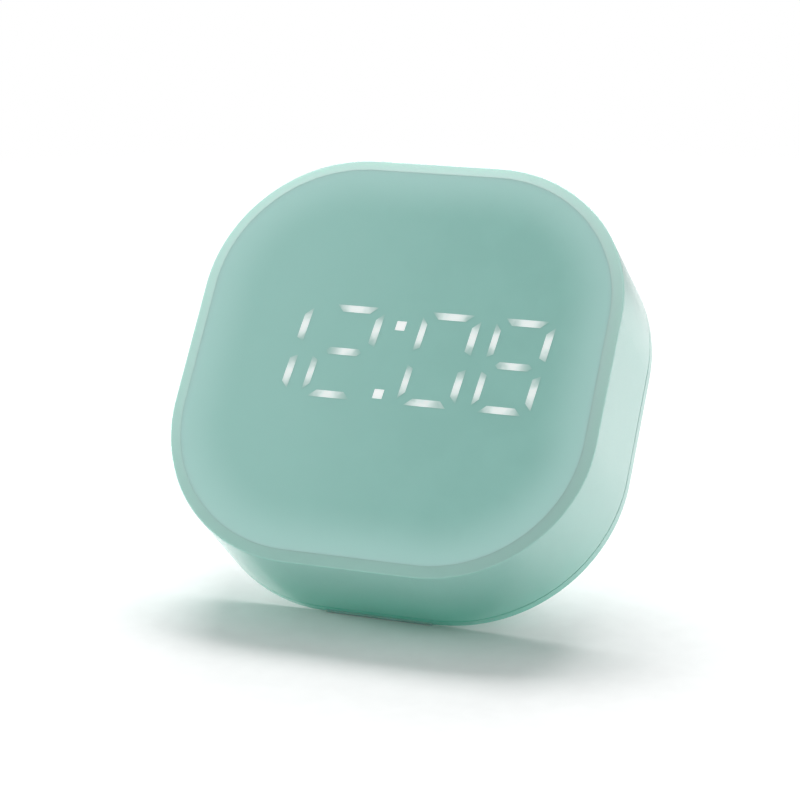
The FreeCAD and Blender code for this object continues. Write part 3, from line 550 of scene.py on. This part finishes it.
def mark_controls(material):
    """One raised sign under each key and under the alarm switch."""
    back_height = min(vertex.co.dot(front) for vertex in nodes["rear_cover"].data.vertices)
    for name, outlines in mark_outlines().items():
        points = [vertex.co for vertex in nodes[name].data.vertices]
        mesh = bmesh.new()
        for outline, inner in outlines:
            raise_outline(mesh, outline, inner)
        bmesh.ops.recalc_face_normals(mesh, faces=mesh.faces)
        place = face_frame.copy()
        height = middle_along(points, up) - MARK_DROP * MM
        place.translation = right * middle_along(points, right) + up * height + front * back_height
        finish_piece("mark_" + name, mesh, material, "clock", place)


# ---------------------------------------------------------------- stage

CAMERA_LENS = 105.9
CAMERA_DISTANCE = 0.4545
CAMERA_AZIMUTH = 19.84
CAMERA_ELEVATION = 15.6
AIM_RIGHT = 1.35 * MM
AIM_UP = -7.8 * MM


def make_camera():
    azimuth = math.radians(CAMERA_AZIMUTH)
    elevation = math.radians(CAMERA_ELEVATION)
    back = Vector((math.sin(azimuth) * math.cos(elevation), -math.cos(azimuth) * math.cos(elevation),
                   math.sin(elevation)))
    side = Vector((math.cos(azimuth), math.sin(azimuth), 0))
    aim = face_centre + side * AIM_RIGHT + back.cross(side) * AIM_UP
    data = bpy.data.cameras.new("camera")
    data.lens = CAMERA_LENS
    data.sensor_width = 36.0
    data.clip_start = 0.01
    camera = bpy.data.objects.new("camera", data)
    camera.location = aim + back * CAMERA_DISTANCE
    camera.rotation_euler = (-back).to_track_quat("-Z", "Y").to_euler()
    bpy.context.scene.collection.objects.link(camera)
    bpy.context.scene.camera = camera


FLOOR_SOLID = 0.30       # the floor is solid out to this radius
FLOOR_R = 0.55           # and gone at this one


def make_floor():
    """Pale round table top that fades out into the white surroundings."""
    shader = Shader("floor")
    place = shader.place(1.0)
    fine = shader.noise(place, 200.0, 3.0)
    shader.colour(shader.mix(shader.spread(fine, 0.3, 0.7), (0.86, 0.86, 0.86), (0.88, 0.88, 0.88)))
    shader.set(Roughness=0.6, Specular_IOR_Level=0.2)
    length = shader.node("ShaderNodeVectorMath", operation="LENGTH")
    shader.link(place, length.inputs[0])
    shader.link(shader.spread(length.outputs["Value"], FLOOR_SOLID, FLOOR_R, 1.0, 0.0),
                shader.surface.inputs["Alpha"])
    mesh = bmesh.new()
    bmesh.ops.create_circle(mesh, cap_ends=True, segments=96, radius=FLOOR_R)
    data = bpy.data.meshes.new("floor")
    mesh.to_mesh(data)
    mesh.free()
    floor = bpy.data.objects.new("floor", data)
    bpy.context.scene.collection.objects.link(floor)
    data.materials.append(shader.material)


ROOM_LIGHT = 0.44
SOFT_BOXES = {           # place, size, power
    "top_soft_box": ((-0.08, 0.38, 0.66), 0.6, 6.4),
    "right_soft_box": ((0.80, 0.18, 0.20), 0.35, 1.6),
    "left_soft_box": ((-0.80, -0.10, 0.18), 0.3, 3.7),
}


def soft_box(name, place, size, power):
    """Square area light that faces the clock."""
    data = bpy.data.lights.new(name, "AREA")
    data.shape = "SQUARE"
    data.size = size
    data.energy = power
    light = bpy.data.objects.new(name, data)
    light.location = place
    toward = face_centre - Vector(place)
    light.rotation_euler = toward.to_track_quat("-Z", "Y").to_euler()
    bpy.context.scene.collection.objects.link(light)


def make_light():
    world = bpy.data.worlds.new("studio")
    bpy.context.scene.world = world
    world.use_nodes = True
    tree = world.node_tree
    background = tree.nodes["Background"]
    background.inputs["Color"].default_value = (1, 1, 1, 1)
    rays = tree.nodes.new("ShaderNodeLightPath")
    strength = tree.nodes.new("ShaderNodeMapRange")
    strength.inputs["To Min"].default_value = ROOM_LIGHT
    strength.inputs["To Max"].default_value = 1.0
    tree.links.new(rays.outputs["Is Camera Ray"], strength.inputs["Value"])
    tree.links.new(strength.outputs["Result"], background.inputs["Strength"])
    for name, (place, size, power) in SOFT_BOXES.items():
        soft_box(name, place, size, power)


materials = slot_materials()
make_camera()
dress_nodes(materials)
light_digits()
mark_controls(materials["white_knob"])
make_floor()
make_light()
bpy.context.scene.view_settings.view_transform = "Standard"
